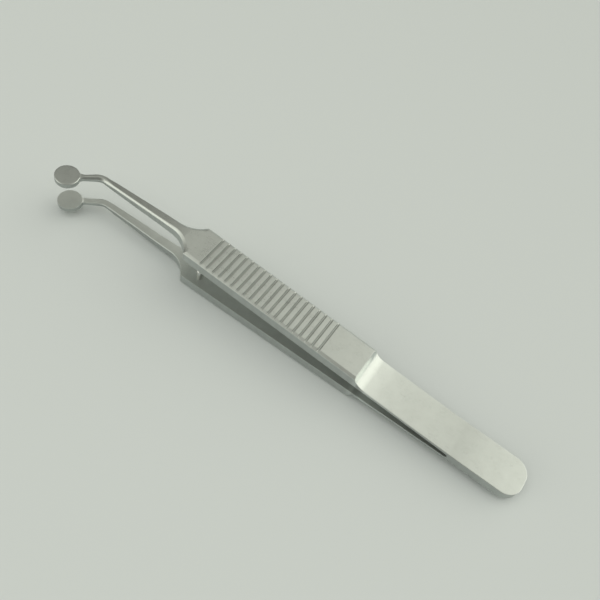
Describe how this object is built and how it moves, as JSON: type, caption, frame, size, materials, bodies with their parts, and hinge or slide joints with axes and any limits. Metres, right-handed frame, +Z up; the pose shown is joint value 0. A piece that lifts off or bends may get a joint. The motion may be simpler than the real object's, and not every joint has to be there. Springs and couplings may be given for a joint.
{
  "type": "expressor forceps",
  "caption": "Spring forceps with serrated flat grips, thin spring leaves and a welded heel; the sideways-bent tips end in small round pressing discs.",
  "frame": {"origin": "middle of the serrated field on the outer face of the lower grip, which lies on the table", "axes": "+X from the discs towards the heel, +Y to the side away from the bent tips, +Z up from the lower blade to the upper blade"},
  "size_m": [0.1078, 0.0109, 0.0112],
  "materials": {
    "blade_steel": "satin stainless steel, fine ground, brighter on the bevels and on the leaf",
    "pin_steel": "turned stainless steel"
  },
  "bodies": {
    "lower": {"lower_blade": "blade_steel", "guide_pin": "pin_steel"},
    "upper": {"upper_blade": "blade_steel"}
  },
  "joints": [
    {"name": "squeeze", "type": "hinge", "parent": "lower", "child": "upper", "pos_m": [0.04772, 0, 0.00292], "axis": [0, -1, 0], "range_deg": [0, 4.05], "stiffness_Nm_per_rad": 2}
  ]
}
